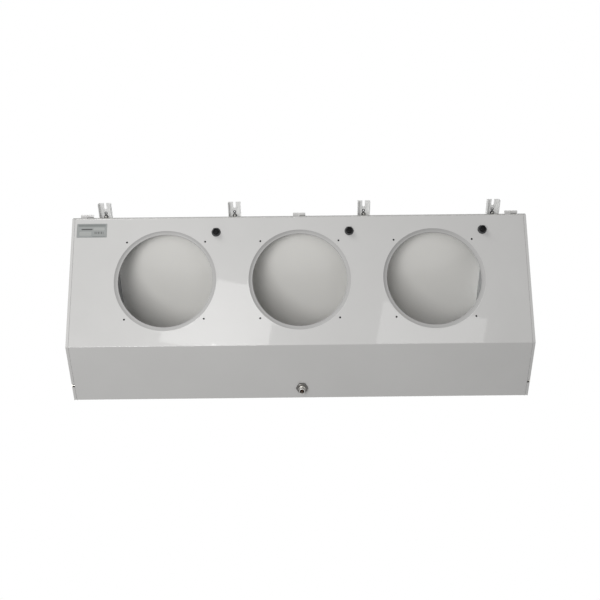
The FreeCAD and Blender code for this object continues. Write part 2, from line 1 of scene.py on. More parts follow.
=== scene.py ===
# %% [markdown]
# # A ceiling-hung unit cooler
# The real object is a slim sheet-metal box that hangs from the ceiling of a cold room. One folded
# sheet is both its sloping fan panel and its drain pan, and this one is supplied without its fans, so
# the three flared mouths are empty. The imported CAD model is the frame: it gives every place and every
# body. This script adds the round, rolled and moulded pieces as smooth surfaces, and gives every
# piece a finish. Lengths are written in millimetres and turned to metres in one place.

# %% Load the frame
import math

import bmesh
import bpy
import numpy as np
from mathutils import Matrix


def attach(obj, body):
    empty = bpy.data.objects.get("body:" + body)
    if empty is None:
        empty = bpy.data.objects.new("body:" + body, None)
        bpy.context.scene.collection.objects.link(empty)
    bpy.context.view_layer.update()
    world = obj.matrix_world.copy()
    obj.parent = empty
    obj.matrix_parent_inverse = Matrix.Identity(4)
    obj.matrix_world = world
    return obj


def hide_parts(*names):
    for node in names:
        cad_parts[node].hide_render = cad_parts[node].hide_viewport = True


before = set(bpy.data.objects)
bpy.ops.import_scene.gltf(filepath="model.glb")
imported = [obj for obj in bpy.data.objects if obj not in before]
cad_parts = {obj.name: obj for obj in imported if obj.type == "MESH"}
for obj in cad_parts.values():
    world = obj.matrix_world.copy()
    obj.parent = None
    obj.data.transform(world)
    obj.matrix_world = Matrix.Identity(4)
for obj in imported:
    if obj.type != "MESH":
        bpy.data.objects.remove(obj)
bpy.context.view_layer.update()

MM = 0.001

# %% [markdown]
# ## Where things are
# The casing hangs with its top at z = 0, and its fan panel rises from the fold at 35.5 degrees. The
# places could be read off the CAD meshes, but a few named numbers, the same as in the CAD source, say
# more plainly why a piece is where it is.

# %% The sizes that the pieces share
slope = math.radians(35.5)
casing_half = 620.0
panel_half = 612.5
front_y = 225.4894
rear_y = -front_y
fold_y = front_y - 164.0
pan_low = -229.2
panel_length = 204.7 / math.sin(slope)
sheet = 1.2
opening_xs = (-362.0, 0.0, 362.0)
opening_rise = 178.5
print("the panel is", round(panel_length, 1), "mm from its fold to its top edge")

# %% [markdown]
# ## A point of the fan panel
# Most small pieces stand on the sloping panel. Turning each of them by hand would be slow and easy to
# get wrong. A point is known here by x, by its rise up the slope and by its distance off the face.


# %% On the panel
out_of_panel = np.array([0.0, -math.sin(slope), -math.cos(slope)])
up_panel = np.array([0.0, -math.cos(slope), math.sin(slope)])


def on_panel(x, rise, out=0.0):
    """The fold's place, plus the rise times the slope's direction, plus a distance off the face."""
    return np.array([x, fold_y, pan_low]) + rise * up_panel + out * out_of_panel


print("middle opening", on_panel(0.0, opening_rise).round(1))

# %% [markdown]
# ## Surfaces from arrays
# A turned, swept or folded piece is a grid of points: one direction runs along a profile or a path and
# the other runs round it. Such pieces could be cut with Booleans, but whole arrays are quick, leave no
# odd vertices, and keep every measure in sight. Each helper gives a shell: its points and its faces.


# %% A grid that closes on itself
def grid_faces(rows, columns):
    """Quads of a grid that closes round its columns: (i, j), (i, j+1), (i+1, j+1), (i+1, j)."""
    i, j = np.meshgrid(np.arange(rows - 1), np.arange(columns), indexing="ij")
    k = (j + 1) % columns
    corners = [i * columns + j, i * columns + k, (i + 1) * columns + k, (i + 1) * columns + j]
    return np.stack(corners, -1).reshape(-1, 4)


def round_angles(steps):
    """Equal steps of angle round a circle, without its end."""
    return np.linspace(0, 2 * math.pi, steps, endpoint=False)


print("3 rows of 8 points make", len(grid_faces(3, 8)), "quads")

# %% [markdown]
# ## Turned shapes
# Lips, bushes, caps and pipe ends are round, so their outline is turned about an axis as on a lathe.
# The Screw modifier could do that too, but a formula can also ripple the radius for a ribbed cap.


# %% Turning a profile
def arc(centre, radius, start, end, steps):
    """Points (a, b) on a circle: centre plus radius times (cos t, sin t), t in degrees."""
    t = np.radians(np.linspace(start, end, steps))
    return np.stack([centre[0] + radius * np.cos(t), centre[1] + radius * np.sin(t)], -1)


def turned(profile, steps=48, ribs=0, rib_depth=0.0):
    """A profile of (radius, height) turned round Z: x = r cos t, y = r sin t, z = h.

    With ribs, r is made smaller by rib_depth (1 + cos(ribs t)) / 2 where the profile's third value is 1.
    """
    rows = np.array([(*row, 0.0)[:3] for row in profile], float)
    t = round_angles(steps)
    ripple = rib_depth * (1 + np.cos(ribs * t)) / 2
    r = rows[:, :1] - rows[:, 2:] * ripple
    points = np.stack([r * np.cos(t), r * np.sin(t), rows[:, 1:2] + 0 * t], -1)
    return points.reshape(-1, 3), grid_faces(len(rows), steps)


print("a quarter circle in 5 points:", arc((0, 0), 1, 0, 90, 5).round(2).tolist())

# %% [markdown]
# ## Putting a shape in its place
# A shape is worked out round Z at the origin. Its object could then be turned and moved, but the
# export wants every object at the origin, so the points themselves are turned and moved.


# %% Placing a shell
def placed(shell, origin, along=(0, 0, 1), side=(1, 0, 0)):
    """The shell with its Z turned to along and its X towards side, moved to origin."""
    points, faces = shell
    z = np.array(along, float) / np.linalg.norm(along)
    x = np.array(side, float) - z * np.dot(side, z)
    x = x / np.linalg.norm(x)
    return points @ np.stack([x, np.cross(z, x), z]) + np.array(origin, float), faces


print("Z of a shape on the panel points to", out_of_panel.round(2))

# %% [markdown]
# ## From arrays to a piece
# Each finished piece is one mesh in metres at the origin. Doubled points where a profile closes on
# itself are merged, the normals are made to point outwards, and edges sharper than a set angle stay
# sharp while the rest shade smoothly. Every piece is then told which CAD body it rides on and gets
# its material.


# %% Making a piece
MERGE = 1e-6


def ready(thing, body, material, sharp):
    """Shades a new object, gives it its finish, and lets it ride on its body."""
    mesh = thing.data
    mesh.polygons.foreach_set("use_smooth", np.ones(len(mesh.polygons), bool))
    mesh.set_sharp_from_angle(angle=math.radians(sharp))
    mesh.materials.append(material)
    bpy.context.scene.collection.objects.link(thing)
    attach(thing, body)
    print(thing.name, len(mesh.polygons), "faces")
    return thing


def piece(name, shells, body, material, sharp=35.0):
    """One object from shells of (points in mm, faces), riding on a CAD body."""
    starts = np.cumsum([0] + [len(points) for points, _ in shells])
    points = np.concatenate([points for points, _ in shells]) * MM
    faces = np.concatenate([faces + start for (_, faces), start in zip(shells, starts)])
    mesh = bpy.data.meshes.new(name)
    mesh.from_pydata(points, [], faces.tolist())
    work = bmesh.new()
    work.from_mesh(mesh)
    bmesh.ops.remove_doubles(work, verts=work.verts, dist=MERGE)
    bmesh.ops.dissolve_degenerate(work, edges=work.edges, dist=MERGE)
    bmesh.ops.recalc_face_normals(work, faces=work.faces)
    work.to_mesh(mesh)
    work.free()
    return ready(bpy.data.objects.new(name, mesh), body, material, sharp)


print("points closer than", MERGE, "m are merged")

# %% [markdown]
# ## The camera
# The photograph was taken from below, on the fans' side, looking up. The camera's place was solved
# from the casing's corners. It is rolled a little, which is why the right end looks higher. A Track To
# constraint could aim it, but not with that roll, so its axes are written as a matrix.


# %% Camera
def facing(place, right, up, back):
    """The axes right, up and back as a matrix's columns, moved to a place in metres."""
    axes = Matrix([[*row] for row in np.stack([right, up, back], -1)])
    return Matrix.Translation(place) @ axes.to_4x4()


scene = bpy.context.scene
camera = bpy.data.objects.new("camera", bpy.data.cameras.new("camera"))
scene.collection.objects.link(camera)
eye = np.array([0.0, -0.7895, -1.811])
look = np.array([0.0, 0.4147, 0.9100])
look = look / np.linalg.norm(look)
level = np.array([1.0, 0.0, 0.0])
above = np.cross(level, look)
roll = math.radians(0.6)
tilted_up = math.cos(roll) * above + math.sin(roll) * level
tilted_right = math.cos(roll) * level - math.sin(roll) * above
camera.matrix_world = facing(eye, tilted_right, tilted_up, -look)
camera.data.lens = 40.8
camera.data.sensor_width = 36.0
scene.camera = camera
print("camera looks along", look.round(3))

# %% [markdown]
# ## Light
# The photograph has one large soft light to the left of the camera: the panel darkens from left to
# right, and the left rim of each mouth shades the cover behind it. A second one lights the pan, and a
# third keeps the top and the air outlet readable. Area lamps are chosen, because their edges are soft.


# %% Lamps
def soft_box(name, place, target, width, height, watts, roll=0.0):
    """A rectangular lamp at a place in metres, facing a target, rolled by some degrees."""
    lamp = bpy.data.lights.new(name, "AREA")
    lamp.shape = "RECTANGLE"
    lamp.size = width
    lamp.size_y = height
    lamp.energy = watts
    thing = bpy.data.objects.new(name, lamp)
    scene.collection.objects.link(thing)
    way = np.array(target, float) - np.array(place, float)
    back = -way / np.linalg.norm(way)
    across = np.cross((0.0, 0.0, 1.0), back)
    across = across / np.linalg.norm(across)
    turn = math.radians(roll)
    across = math.cos(turn) * across + math.sin(turn) * np.cross(back, across)
    thing.matrix_world = facing(place, across, np.cross(back, across), back)
    return thing


soft_box("key_light", (-0.78, -0.96, -2.36), (0.0, 0.0, -0.1), 1.3, 1.0, 29.0)
soft_box("side_light", (-1.7, -2.9, -0.1), (0.0, 0.0, -0.1), 1.6, 1.6, 43.0)
soft_box("top_light", (0.8, 1.6, 2.6), (0.0, 0.0, 0.0), 2.5, 2.5, 30.0)

# %% [markdown]
# ## Two pale patches in the paint
# The glossy panel mirrors two lit areas, one between the first two mouths and one under the third.
# They could be painted on, but then they would stay where they are when the camera moves. So each is
# a real lamp, put where the camera sees it in the panel as in a mirror.

# %% Mirrored lamps
mirror_distance = 3.0


def mirrored_place(x, rise, distance):
    """Where a lamp stands that the camera sees in the panel at (x, rise): r = d - 2 (d . n) n."""
    spot = on_panel(x, rise) * MM
    d = (spot - eye) / np.linalg.norm(spot - eye)
    return spot + distance * (d - 2 * np.dot(d, out_of_panel) * out_of_panel), spot


patches = (
    {"x": -214.0, "rise": 80.0, "width": 0.75, "height": 0.50, "watts": 5.0, "roll": -18.0},
    {"x": 345.0, "rise": 30.0, "width": 0.72, "height": 0.32, "watts": 1.9, "roll": 0.0},
)
for number, patch in enumerate(patches, start=1):
    place, spot = mirrored_place(patch["x"], patch["rise"], mirror_distance)
    soft_box(f"window_{number}", place, spot, patch["width"], patch["height"], patch["watts"], patch["roll"])
    print("window", number, "stands at", place.round(2))

# %% [markdown]
# ## A white room
# The photograph's background is plain white. More light would bleach the object, so the world is white
# only for the rays of the camera, of mirrors and of glass, while its own light stays low.

# %% World
room_light = 0.27
world = bpy.data.worlds.new("pale_room")
scene.world = world
world.use_nodes = True
room_nodes = world.node_tree.nodes
room_links = world.node_tree.links
room_nodes.clear()
rays = room_nodes.new("ShaderNodeLightPath")
seen = rays.outputs["Is Camera Ray"]
for kind in ("Is Glossy Ray", "Is Transmission Ray"):
    either = room_nodes.new("ShaderNodeMath")
    either.operation = "MAXIMUM"
    room_links.new(seen, either.inputs[0])
    room_links.new(rays.outputs[kind], either.inputs[1])
    seen = either.outputs[0]
strength = room_nodes.new("ShaderNodeMapRange")
strength.inputs["To Min"].default_value = room_light
strength.inputs["To Max"].default_value = 1.0
room_links.new(seen, strength.inputs["Value"])
sky = room_nodes.new("ShaderNodeBackground")
sky.inputs["Color"].default_value = (1.0, 1.0, 1.0, 1.0)
room_links.new(strength.outputs["Result"], sky.inputs["Strength"])
world_out = room_nodes.new("ShaderNodeOutputWorld")
room_links.new(sky.outputs["Background"], world_out.inputs["Surface"])
scene.view_settings.view_transform = "Standard"
print("the room lights the object at", room_light, "and looks white")

# %% [markdown]
# ## Shared effects
# Paint, zinc, plastic and copper differ in colour and gloss, but the same few effects give them life.
# They could be built anew in each material. A node group is built once, and a material only states
# its values. The patterns follow the object's own coordinates, so they don't slide when it moves.

# %% Tools for node groups
FLOAT = "NodeSocketFloat"
COLOUR = "NodeSocketColor"


def node_group(name, inputs, outputs):
    """An empty group with named sockets: each is (name, type, value)."""
    group = bpy.data.node_groups.new(name, "ShaderNodeTree")
    for label, kind, value in inputs:
        socket = group.interface.new_socket(name=label, in_out="INPUT", socket_type=kind)
        socket.default_value = value
    for label, kind in outputs:
        group.interface.new_socket(name=label, in_out="OUTPUT", socket_type=kind)
    return group, group.nodes.new("NodeGroupInput"), group.nodes.new("NodeGroupOutput")


def noise_in(group, scale, detail):
    """Noise over the object's own coordinates in a group, at the scale that a socket gives."""
    place = group.nodes.new("ShaderNodeTexCoord")
    noise = group.nodes.new("ShaderNodeTexNoise")
    noise.inputs["Detail"].default_value = detail
    group.links.new(place.outputs["Object"], noise.inputs["Vector"])
    group.links.new(scale, noise.inputs["Scale"])
    return noise.outputs["Fac"]


def widened(group, value):
    """A Map Range node that spreads the noise's usual values, 0.3 to 0.7, over the whole range."""
    node = group.nodes.new("ShaderNodeMapRange")
    node.inputs["From Min"].default_value = 0.3
    node.inputs["From Max"].default_value = 0.7
    group.links.new(value, node.inputs["Value"])
    return node


print("sockets are of type", FLOAT, "or", COLOUR)

# %% [markdown]
# ## Grain and patchy gloss
# No sheet is quite smooth: powder paint has a fine orange skin and zinc has a fine grain. Its gloss is
# uneven as well, where hands and cloths have been. Noise gives both, once as a height and once as a
# roughness between two limits.

# %% Grain and gloss groups
grain_group, grain_in, grain_out = node_group("fine_grain", [("Scale", FLOAT, 900.0)], [("Height", FLOAT)])
grain_noise = noise_in(grain_group, grain_in.outputs["Scale"], 2.0)
grain_group.links.new(grain_noise, grain_out.inputs["Height"])

gloss_group, gloss_in, gloss_out = node_group(
    "patchy_gloss",
    [("Scale", FLOAT, 20.0), ("Low", FLOAT, 0.3), ("High", FLOAT, 0.4)],
    [("Roughness", FLOAT)],
)
gloss_range = widened(gloss_group, noise_in(gloss_group, gloss_in.outputs["Scale"], 4.0))
gloss_group.links.new(gloss_in.outputs["Low"], gloss_range.inputs["To Min"])
gloss_group.links.new(gloss_in.outputs["High"], gloss_range.inputs["To Max"])
gloss_group.links.new(gloss_range.outputs["Result"], gloss_out.inputs["Roughness"])
print("groups", grain_group.name, gloss_group.name)

# %% [markdown]
# ## Drifting colour, and a painted shade behind a plane
# A real finish is never one colour, so two tints are mixed by slow noise. The last group tells which
# part of a piece lies behind a plane, to take a painted shade: the cover's folded rear lip lies in
# shade and is seen as a thin dark line along the panel's top edge, so it is painted dark. It reads a
# coordinate only, so it needs no painted mask.

# %% Colour groups
drift_group, drift_in, drift_out = node_group(
    "colour_drift",
    [("Scale", FLOAT, 6.0), ("First", COLOUR, (1, 1, 1, 1)), ("Second", COLOUR, (0.9, 0.9, 0.9, 1))],
    [("Color", COLOUR)],
)
drift_step = widened(drift_group, noise_in(drift_group, drift_in.outputs["Scale"], 5.0))
drift_mix = drift_group.nodes.new("ShaderNodeMix")
drift_mix.data_type = "RGBA"
drift_group.links.new(drift_step.outputs["Result"], drift_mix.inputs["Factor"])
drift_group.links.new(drift_in.outputs["First"], drift_mix.inputs["A"])
drift_group.links.new(drift_in.outputs["Second"], drift_mix.inputs["B"])
drift_group.links.new(drift_mix.outputs["Result"], drift_out.inputs["Color"])

# The mask marks the part past the plane, which takes a painted shade.
plane_group, plane_in, plane_out = node_group("behind_plane", [("Limit", FLOAT, -1.0)], [("Mask", FLOAT)])
plane_place = plane_group.nodes.new("ShaderNodeTexCoord")
plane_split = plane_group.nodes.new("ShaderNodeSeparateXYZ")
plane_test = plane_group.nodes.new("ShaderNodeMath")
plane_test.operation = "LESS_THAN"
plane_group.links.new(plane_place.outputs["Object"], plane_split.inputs["Vector"])
plane_group.links.new(plane_split.outputs["Y"], plane_test.inputs[0])
plane_group.links.new(plane_in.outputs["Limit"], plane_test.inputs[1])
plane_group.links.new(plane_test.outputs[0], plane_out.inputs["Mask"])
print("groups", [group.name for group in bpy.data.node_groups])

# %% [markdown]
# ## Finishes
# One function builds every material from the four groups. What is the same all over a surface, such
# as how metallic it is or its coat, is set on the shader's own socket.

# %% A finish from the shared effects
SHEET_WAVE_SCALE = 22.0


def filled(node, values):
    """The node, with its sockets set from names and values."""
    for label, value in values.items():
        node.inputs[label].default_value = value
    return node


def finish(name, colours, gloss, grain, metallic=0.0, coat=0.0, coat_roughness=0.1, scales=(6.0, 20.0),
           specular=0.5, wave=0.0, behind=None):
    """colours: two tints; gloss: lowest and highest roughness; grain: (scale per metre, bump height in mm).

    scales are those of the drift and of the patches. wave is the height in mm of the sheet's own slow
    unevenness, which makes mirrored edges wander. behind is (y in mm, tint) for what lies past a plane,
    which takes that tint as a painted shade.
    """
    material = bpy.data.materials.new(name)
    material.use_nodes = True
    tree = material.node_tree
    shader = filled(tree.nodes["Principled BSDF"], {
        "Metallic": metallic, "Specular IOR Level": specular,
        "Coat Weight": coat, "Coat Roughness": coat_roughness,
    })

    def use(group, values):
        node = tree.nodes.new("ShaderNodeGroup")
        node.node_tree = group
        return filled(node, values)

    def relief(scale, height):
        bump = filled(tree.nodes.new("ShaderNodeBump"), {"Strength": 1.0, "Distance": height * MM})
        tree.links.new(use(grain_group, {"Scale": scale}).outputs["Height"], bump.inputs["Height"])
        return bump

    first, second = colours
    drift = use(drift_group, {"Scale": scales[0], "First": (*first, 1.0), "Second": (*second, 1.0)})
    tint = drift.outputs["Color"]
    # Past the plane the colour turns to the given tint: a painted shade.
    if behind:
        limit, painted_shade_tint = behind
        mix = tree.nodes.new("ShaderNodeMix")
        mix.data_type = "RGBA"
        filled(mix, {"B": (*painted_shade_tint, 1.0)})
        tree.links.new(use(plane_group, {"Limit": limit * MM}).outputs["Mask"], mix.inputs["Factor"])
        tree.links.new(tint, mix.inputs["A"])
        tint = mix.outputs["Result"]
    tree.links.new(tint, shader.inputs["Base Color"])
    patchy = use(gloss_group, {"Scale": scales[1], "Low": gloss[0], "High": gloss[1]})
    tree.links.new(patchy.outputs["Roughness"], shader.inputs["Roughness"])
    fine = relief(*grain)
    tree.links.new(fine.outputs["Normal"], shader.inputs["Normal"])
    if wave:
        tree.links.new(relief(SHEET_WAVE_SCALE, wave).outputs["Normal"], fine.inputs["Normal"])
    return material


print("a finish uses", len(bpy.data.node_groups), "shared groups")

# %% [markdown]
# ## Paint
# The casing is powder-coated in a pale warm grey. A thin smooth coat over a duller base gives the
# sharp but weak mirror image of such paint, which one gloss value alone can't. The cover is paler
# inside, and its folded rear lip is painted dark as painted shade. The rolled mouths are painted
# darker than the panel: painted shade for the shadow in their hollow rings.

# %% Paint finishes
paint = finish("powder_coat", ((0.57, 0.565, 0.555), (0.55, 0.545, 0.535)), (0.30, 0.36), (420.0, 0.006),
               coat=0.6, coat_roughness=0.03, wave=0.45)
# The cover's folded rear lip gets a dark tint: painted shade for the dark line above the panel.
cover_paint_and_lip_shade = finish("cover_coat_and_lip_shade", ((0.88, 0.87, 0.835), (0.86, 0.85, 0.815)), (0.34, 0.40), (420.0, 0.006),
                     coat=0.3, coat_roughness=0.15, behind=(rear_y + 0.4, (0.33, 0.33, 0.325)))
# The mouths' darker paint is painted shade for their hollow rings.
mouth_painted_shade = finish("mouth_painted_shade", ((0.42, 0.417, 0.41), (0.40, 0.397, 0.39)), (0.45, 0.55), (420.0, 0.006))
print("paints", paint.name, cover_paint_and_lip_shade.name, mouth_painted_shade.name)

# %% [markdown]
# ## Metals
# Galvanised sheet has large dull flowers, plated screws are finer and brighter, and copper drifts
# from salmon to brown. Each is the same metal shader with its own tints, gloss and size of pattern.
# The rails are so dull in the photograph that they are treated as a coat and not as bare metal.

# %% Metal finishes
zinc_sheet = finish("galvanised_sheet", ((0.55, 0.56, 0.57), (0.44, 0.45, 0.47)), (0.32, 0.50), (700.0, 0.01),
                    metallic=1.0, scales=(90.0, 60.0))
rail_zinc = finish("rail_zinc", ((0.80, 0.80, 0.79), (0.72, 0.72, 0.71)), (0.38, 0.5), (600.0, 0.01),
                   scales=(60.0, 40.0))
plated = finish("zinc_plated", ((0.72, 0.71, 0.67), (0.60, 0.59, 0.56)), (0.22, 0.34), (900.0, 0.006),
                metallic=1.0, scales=(120.0, 90.0))
drain_zinc = finish("drain_zinc", ((0.62, 0.61, 0.58), (0.52, 0.51, 0.49)), (0.26, 0.36), (900.0, 0.006),
                    metallic=1.0, scales=(120.0, 90.0))
dark_nut = finish("dark_nut", ((0.10, 0.095, 0.09), (0.14, 0.135, 0.13)), (0.30, 0.42), (900.0, 0.01),
                  metallic=1.0, scales=(120.0, 90.0))
# This near-black steel is painted shade on the rivet nuts and the rail nuts.
steel_painted_shade = finish("steel_painted_shade", ((0.05, 0.05, 0.055), (0.08, 0.08, 0.08)), (0.35, 0.5), (900.0, 0.01),
                    metallic=0.6, scales=(80.0, 60.0))
aluminium = finish("fin_aluminium", ((0.80, 0.81, 0.82), (0.70, 0.71, 0.73)), (0.28, 0.42), (500.0, 0.01),
                   metallic=1.0, scales=(30.0, 50.0))
copper = finish("copper", ((0.76, 0.42, 0.28), (0.56, 0.28, 0.17)), (0.26, 0.42), (700.0, 0.01),
                metallic=1.0, scales=(45.0, 60.0))
brass = finish("brass", ((0.76, 0.58, 0.28), (0.66, 0.49, 0.22)), (0.22, 0.34), (900.0, 0.006),
               metallic=1.0, scales=(60.0, 80.0))
print("the fins' finish is", aluminium.name)

# %% [markdown]
# ## Plastic, rubber and the rating plate's tints
# Moulded pieces have a coarser grain than paint and no metal in them. The glands' caps are so dark
# that their shine is turned down as well. The rating plate is thin metal with dull printed areas.

# %% Plastic and label finishes
black_plastic = finish("black_plastic", ((0.012, 0.012, 0.013), (0.018, 0.018, 0.019)), (0.30, 0.42),
                       (1400.0, 0.02), scales=(60.0, 90.0))
gland_plastic = finish("gland_plastic", ((0.004, 0.004, 0.0045), (0.006, 0.006, 0.0065)), (0.30, 0.40),
                       (1400.0, 0.02), scales=(60.0, 90.0), specular=0.12)
gland_grey = finish("gland_grey", ((0.055, 0.055, 0.057), (0.07, 0.07, 0.072)), (0.45, 0.55), (1400.0, 0.02),
                    scales=(60.0, 90.0), specular=0.2)
# This black rubber is painted shade in the rails' small holes.
rubber_painted_shade = finish("rubber_painted_shade", ((0.02, 0.02, 0.02), (0.03, 0.03, 0.03)), (0.65, 0.8), (900.0, 0.03))
grey_plastic = finish("grey_plastic", ((0.42, 0.43, 0.44), (0.38, 0.39, 0.40)), (0.42, 0.5), (1200.0, 0.03))
dark_plastic = finish("dark_plastic", ((0.04, 0.04, 0.045), (0.05, 0.05, 0.055)), (0.4, 0.5), (1200.0, 0.02))
label_metal = finish("label_metal", ((0.27, 0.28, 0.275), (0.24, 0.25, 0.245)), (0.35, 0.45), (1500.0, 0.004),
                     metallic=0.3, scales=(40.0, 60.0))
label_band = finish("label_band", ((0.20, 0.21, 0.205), (0.17, 0.18, 0.175)), (0.45, 0.55), (1500.0, 0.003))
label_field = finish("label_field", ((0.36, 0.37, 0.36), (0.33, 0.34, 0.33)), (0.45, 0.55), (1500.0, 0.003))
label_print = finish("label_print", ((0.035, 0.035, 0.035), (0.05, 0.05, 0.05)), (0.5, 0.6), (1500.0, 0.003))
print("finishes", len(bpy.data.materials))

# %% [markdown]
# ## Finishes on the CAD nodes
# The flat sheets are right as they are, so they keep their CAD shape and only get a finish. The nodes
# that follow below are replaced by smoother pieces, and get one too.

# %% Finish the nodes
node_finish = {
    "drip_tray": paint, "top_cover": cover_paint_and_lip_shade, "right_side_cover": paint, "left_side_cover": paint,
    "rating_plate": label_metal, "cable_glands": gland_plastic, "gland_locknuts": black_plastic,
    "drain_spigot": plated, "drain_nut": plated, "tray_hinge_leaves": paint, "casing_hinge_leaves": paint,
    "tray_side_screws": plated, "hinge_pins": plated, "right_tube_plate": zinc_sheet,
    "left_tube_plate": zinc_sheet, "coil_support_plates": zinc_sheet, "coil_fins": aluminium,
    "coil_hairpins": copper, "coil_return_bends": copper, "suction_header": copper,
    "distributor_leads": copper, "liquid_distributor": brass, "junction_box": grey_plastic,
    "junction_box_lid": grey_plastic, "terminal_block": dark_plastic, "rail_nuts": plated,
    "hanger_rail_1": rail_zinc, "hanger_rail_2": rail_zinc, "hanger_rail_3": rail_zinc,
    "hanger_rail_4": rail_zinc,
}
for name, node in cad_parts.items():
    node.data.materials.clear()
    node.data.materials.append(node_finish[name])
print("nodes finished", len(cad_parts))

# %% [markdown]
# ## The flared mouths
# In the photograph each mouth has a crisp outer edge, a shallow hollow ring and a round lip, and the
# ring lies in shade, a little darker than the panel. The CAD draws the flare in three straight steps.
# The CAD node could be smoothed with a Bevel, but not to a hollow. So a turned ring lies just in front
# of its steps: a flat rim in the panel's paint, then a hollow z = -3.2 sin(90 u), and the lip. The
# hollow and the lip get a darker paint than the panel, which is painted shade.

# %% Mouths
mouth_steps = 144
ring_outer, ring_width, ring_face, hollow_depth, lip_radius = 137.55, 9.15, -0.15, 3.2, 1.2


def at_openings(profile):
    """The turned profile, once at each opening of the panel."""
    return [placed(turned(profile, mouth_steps), on_panel(x, opening_rise), out_of_panel) for x in opening_xs]


rim = [(141.2, -0.4), (141.2, 0.02), (140.6, 0.06), (137.7, 0.06), (137.5, -0.1), (137.6, -0.9), (141.2, -0.4)]
piece("fan_mouth_rims", at_openings(rim), "tray", paint)

u = np.linspace(0.0, 1.0, 20)
hollow = np.stack([ring_outer - ring_width * u, ring_face - hollow_depth * np.sin(u * math.pi / 2)], -1)
lip_centre = (ring_outer - ring_width, ring_face - hollow_depth - lip_radius)
lip = arc(lip_centre, lip_radius, 90.0, 270.0, 12)
ring_back = [(130.6, -6.4), (137.3, -2.4)]
mouth = np.concatenate([hollow, lip[1:], ring_back, hollow[:1]])
# The hollow ring and the lip take the darker paint: painted shade.
piece("fan_mouths", at_openings(mouth), "tray", mouth_painted_shade)

# %% [markdown]
# ## Fixings round the mouths
# Each mouth has four rivet nuts for its fan's screws. A rivet nut is a blind bush that sits flush in
# the sheet and is crimped behind it, so from the front there is only a small dark hole. A dark dot
# would look the same from one side only, so the bush is turned whole. Its near-black finish is
# painted shade for the dark of the hole and round it.

# %% Rivet nuts
fan_circle = 300.0
bush = [(0.0, -9.0), (1.9, -9.0), (1.9, -0.5), (2.2, -0.25), (2.6, -0.25), (2.7, -0.4), (2.7, -1.25),
        (4.2, -1.3), (4.4, -2.2), (4.4, -3.4), (3.5, -4.4), (3.5, -9.6), (0.0, -9.6)]
quarters = np.radians([45.0, 135.0, 225.0, 315.0])
bush_places = [(x + fan_circle / 2 * math.cos(t), opening_rise + fan_circle / 2 * math.sin(t))
               for x in opening_xs for t in quarters]
bushes = [placed(turned(bush, 28), on_panel(x, rise), out_of_panel) for x, rise in bush_places]
# The bushes' near-black finish is painted shade.
piece("fan_rivet_nuts", bushes, "tray", steel_painted_shade)

# %% [markdown]
# ## Hexagons
# Nuts, glands and unions share the hexagon whose corners are turned off at 30 degrees. A prism cut by
# a cone would do, but a circle that is held in by a hexagon gives the same in one closed grid.


# %% A hexagon with turned corners
def hexed(rows, across, steps=96):
    """Rows of (cap, height) round Z, held in by a hexagon.

    r(t) = min(cap, across / 2 / cos(u)) with u = (t mod 60 degrees) - 30 degrees.
    """
    rows = np.array(rows, float)
    t = round_angles(steps)
    flat = across / 2 / np.cos(t % (math.pi / 3) - math.pi / 6)
    r = np.minimum(rows[:, :1], flat)
    points = np.stack([r * np.cos(t), r * np.sin(t), rows[:, 1:] + 0 * t], -1)
    return points.reshape(-1, 3), grid_faces(len(rows), steps)


def nut_rows(across, height, bore=0.0, chamfer_low=True):
    """Rows for a hexagon: the cap grows from 0.95 of the flats to the corners at 30 degrees, at its ends."""
    corner = across / math.sqrt(3) + 0.01
    rim = 0.475 * across
    rise = (corner - rim) * math.tan(math.radians(30))
    ramp = np.stack([np.linspace(rim, corner, 7), np.linspace(0.0, rise, 7)], -1)
    low = ramp if chamfer_low else np.array([[corner, 0.0]])
    high = ramp[::-1] * (1, -1) + (0, height)
    rows = np.concatenate([[[bore, 0.0]], low, high, [[bore, height]]])
    return np.concatenate([rows, rows[:1]]) if bore else rows


print("a 24 mm nut has its corners", round(24.0 / math.sqrt(3), 2), "mm from its middle")

# %% [markdown]
# ## Cable glands
# A closed gland sits above and to the right of each mouth. It has a sealing ring against the panel, a
# dark grey hexagon, and a black ribbed cap with a round nose. The ribs could be an Array of small
# bars, but a ripple in the turned radius keeps the cap one closed surface.

# %% Glands
gland_places = [(x + 135.5, opening_rise + 132.5) for x in opening_xs]
gland_across, ring_thick, cap_seat = 22.0, 1.2, 4.7
gland_ring = [(8.0, 0.0), (12.0, 0.0), (12.3, 0.5), (12.0, ring_thick), (8.0, ring_thick), (8.0, 0.0)]
gland_hex = nut_rows(gland_across, 3.4)
cap = [(0.0, 0.0), (8.1, 0.0), (8.8, 0.5), (9.0, 0.9, 1.0), (9.0, 4.6, 1.0), (8.7, 5.1)]
cap += arc((5.6, 4.9), 3.0, 8.0, 84.0, 8).tolist()
cap += [(5.2, 7.9), (4.8, 7.4), (4.6, 5.0), (0.0, 4.8)]
base_shells, cap_shells = [], []
for x, rise in gland_places:
    base_shells.append(placed(turned(gland_ring, 48), on_panel(x, rise), out_of_panel))
    base_shells.append(placed(hexed(gland_hex, gland_across), on_panel(x, rise, ring_thick), out_of_panel))
    cap_shells.append(placed(turned(cap, 144, 24, 0.45), on_panel(x, rise, cap_seat), out_of_panel))
piece("gland_bases", base_shells, "tray", gland_grey, 42.0)
glands = piece("gland_caps", cap_shells, "tray", gland_plastic, 42.0)
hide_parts("cable_glands")

# %% [markdown]
# ## Locknuts
# Behind the panel a flat nut holds each gland, and the gland's hollow threaded end looks out of it.
# The thread is drawn as rings and not as a spiral: nobody can tell at this size, and rings close.

